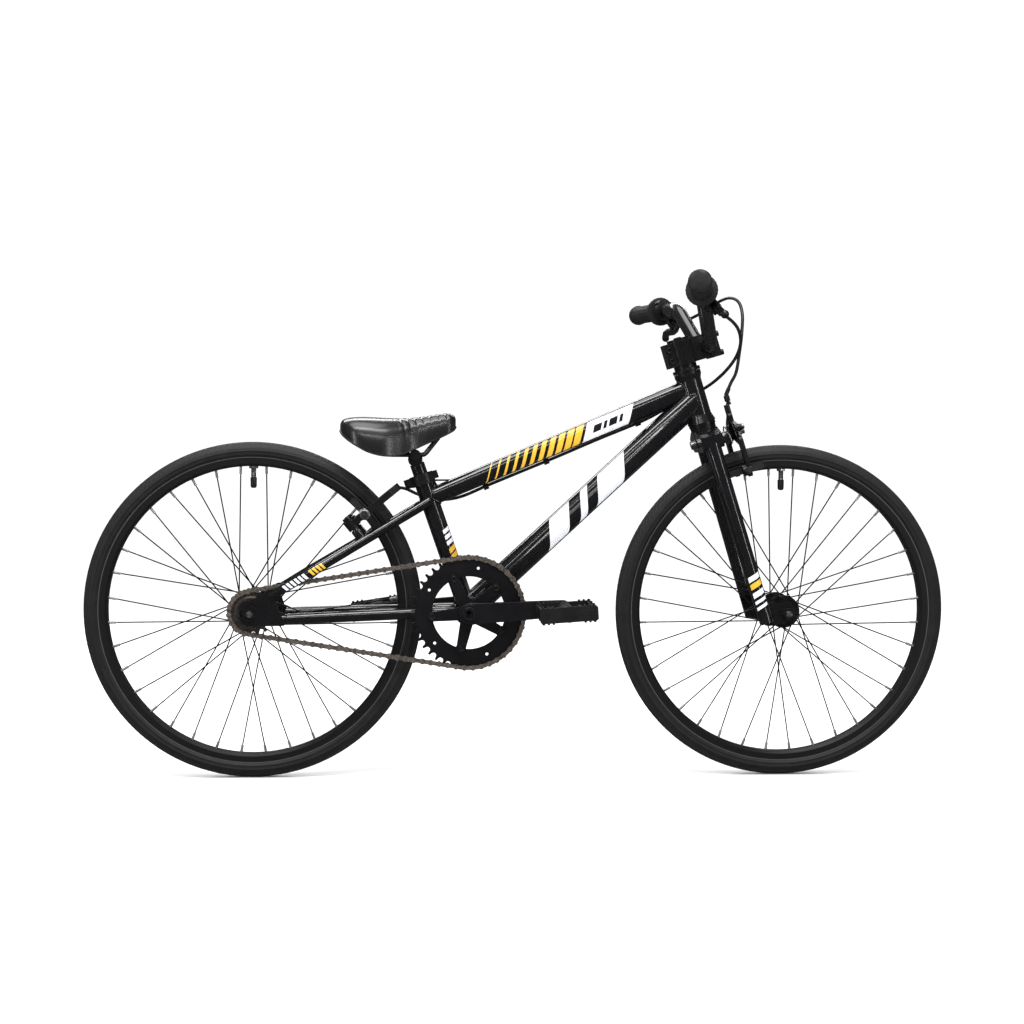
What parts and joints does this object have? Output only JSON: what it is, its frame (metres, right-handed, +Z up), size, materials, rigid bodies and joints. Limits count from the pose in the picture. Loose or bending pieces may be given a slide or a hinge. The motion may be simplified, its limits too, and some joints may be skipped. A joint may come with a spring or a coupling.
{
  "type": "bmx bike",
  "caption": "Small-wheeled racing bicycle with a sloping frame, single-speed chain drive, straight fork, raised handlebar and two hand brakes.",
  "frame": {"origin": "on the ground, midway between the two axles, in the middle plane", "axes": "+X forwards, +Y to the rider's left, +Z up"},
  "size_m": [1.3099, 0.6282, 0.7471],
  "materials": {
    "frame_paint": "gloss",
    "satin_black_alloy": "satin anodised",
    "bar_black": "satin anodised",
    "rim_black": "satin anodised",
    "tyre_rubber": "matt",
    "spoke_black": "black oxide",
    "inner_tube": "matt",
    "grip_rubber": "matt moulded",
    "brake_rubber": "matt",
    "cable_housing": "satin",
    "chain_steel": "bronze brown",
    "freewheel_steel": "bronze brown",
    "axle_steel": "dark zinc",
    "rail_steel": "black",
    "saddle_vinyl": "gloss vinyl",
    "saddle_plastic": "satin",
    "pedal_plastic": "satin"
  },
  "bodies": {
    "frame": {"head_tube": "frame_paint", "top_tube": "frame_paint", "down_tube": "frame_paint", "seat_tube": "frame_paint", "bottom_bracket_shell": "frame_paint", "chain_stays": "frame_paint", "seat_stays": "frame_paint", "rear_dropouts": "frame_paint", "headset_cups": "satin_black_alloy", "bottom_bracket_cups": "axle_steel", "seat_clamp": "satin_black_alloy", "rear_axle": "axle_steel", "rear_axle_nuts": "axle_steel", "rear_brake_cable": "cable_housing", "chain": "chain_steel"},
    "seat": {"seat_post": "satin_black_alloy", "saddle_rails": "rail_steel", "saddle_base": "saddle_plastic", "saddle_pad": "saddle_vinyl"},
    "steering": {"fork": "frame_paint", "headset_bearings": "satin_black_alloy", "stem": "satin_black_alloy", "stem_faceplate": "satin_black_alloy", "stem_bolts": "axle_steel", "stem_cap": "satin_black_alloy", "handlebar": "bar_black", "grips": "grip_rubber", "lever_brackets": "satin_black_alloy", "front_axle": "axle_steel", "front_axle_nuts": "axle_steel", "caliper_bolt": "axle_steel", "front_brake_cable": "cable_housing"},
    "lever_left": {"brake_lever_left": "satin_black_alloy"},
    "lever_right": {"brake_lever_right": "satin_black_alloy"},
    "caliper_left": {"caliper_arm_left": "satin_black_alloy", "front_pad_left": "brake_rubber"},
    "caliper_right": {"caliper_arm_right": "satin_black_alloy", "front_pad_right": "brake_rubber"},
    "v_left": {"v_arm_left": "satin_black_alloy", "rear_pad_left": "brake_rubber"},
    "v_right": {"v_arm_right": "satin_black_alloy", "rear_pad_right": "brake_rubber"},
    "front_wheel": {"front_tyre": "tyre_rubber", "front_rim": "rim_black", "front_spokes": "spoke_black", "front_hub": "satin_black_alloy", "front_inner_tube": "inner_tube"},
    "rear_wheel": {"rear_tyre": "tyre_rubber", "rear_rim": "rim_black", "rear_spokes": "spoke_black", "rear_hub": "satin_black_alloy", "rear_inner_tube": "inner_tube"},
    "freewheel_drive": {"freewheel": "freewheel_steel"},
    "crank": {"crank_spindle": "axle_steel", "chainring": "satin_black_alloy", "crank_arm_right": "satin_black_alloy", "crank_arm_left": "satin_black_alloy", "pedal_axles": "axle_steel"},
    "left_pedal": {"pedal_left": "pedal_plastic"},
    "right_pedal": {"pedal_right": "pedal_plastic"}
  },
  "joints": [
    {"name": "steer", "type": "hinge", "parent": "frame", "child": "steering", "pos_m": [0.26739, 0, 0.57588], "axis": [-0.2924, 0, 0.9563], "range_deg": [-60, 60], "deforming": ["rear_brake_cable"]},
    {"name": "front_wheel_spin", "type": "hinge", "parent": "steering", "child": "front_wheel", "pos_m": [0.4015, 0, 0.2535], "axis": [0, 1, 0], "continuous": true},
    {"name": "rear_wheel_spin", "type": "hinge", "parent": "frame", "child": "rear_wheel", "pos_m": [-0.4015, 0, 0.2535], "axis": [0, 1, 0], "continuous": true},
    {"name": "crank_spin", "type": "hinge", "parent": "frame", "child": "crank", "pos_m": [-0.07844, 0, 0.2535], "axis": [0, 1, 0], "continuous": true, "deforming": ["chain"]},
    {"name": "freewheel_spin", "type": "hinge", "parent": "frame", "child": "freewheel_drive", "pos_m": [-0.4015, 0, 0.2535], "axis": [0, 1, 0], "continuous": true},
    {"name": "left_pedal_spin", "type": "hinge", "parent": "crank", "child": "left_pedal", "pos_m": [-0.21817, 0.12, 0.24495], "axis": [0, 1, 0], "continuous": true},
    {"name": "right_pedal_spin", "type": "hinge", "parent": "crank", "child": "right_pedal", "pos_m": [0.0613, -0.12, 0.26205], "axis": [0, 1, 0], "continuous": true},
    {"name": "seat_height", "type": "slide", "parent": "frame", "child": "seat", "axis": [-0.3305, 0, 0.9438], "range_m": [-0.012, 0.045]},
    {"name": "left_lever", "type": "hinge", "parent": "steering", "child": "lever_left", "pos_m": [0.26531, 0.18161, 0.69989], "axis": [0.7587, 0.1386, 0.6366], "range_deg": [0, 20], "stiffness_Nm_per_rad": 0.6, "springref_deg": -20.05},
    {"name": "right_lever", "type": "hinge", "parent": "steering", "child": "lever_right", "pos_m": [0.26531, -0.18161, 0.69989], "axis": [-0.7587, 0.1386, -0.6366], "range_deg": [0, 20], "stiffness_Nm_per_rad": 0.6, "springref_deg": -20.05},
    {"name": "left_caliper_arm", "type": "hinge", "parent": "steering", "child": "caliper_left", "pos_m": [0.32514, 0, 0.52378], "axis": [-0.9563, 0, -0.2924], "range_deg": [0, 1.2], "deforming": ["front_brake_cable"]},
    {"name": "right_caliper_arm", "type": "hinge", "parent": "steering", "child": "caliper_right", "pos_m": [0.32514, 0, 0.52378], "axis": [0.9563, 0, 0.2924], "range_deg": [0, 1.2]},
    {"name": "left_v_arm", "type": "hinge", "parent": "frame", "child": "v_left", "pos_m": [-0.25348, 0.036, 0.38442], "axis": [0.6293, 0, -0.7771], "range_deg": [0, 2.8]},
    {"name": "right_v_arm", "type": "hinge", "parent": "frame", "child": "v_right", "pos_m": [-0.25348, -0.036, 0.38442], "axis": [-0.6293, 0, 0.7771], "range_deg": [0, 2.8]}
  ],
  "couplings": [
    {"joint": "freewheel_spin", "follows": "crank_spin", "ratio": 2.5625},
    {"joint": "left_caliper_arm", "follows": "left_lever", "ratio": 0.06},
    {"joint": "right_caliper_arm", "follows": "left_lever", "ratio": 0.06},
    {"joint": "left_v_arm", "follows": "right_lever", "ratio": 0.14},
    {"joint": "right_v_arm", "follows": "right_lever", "ratio": 0.14}
  ]
}
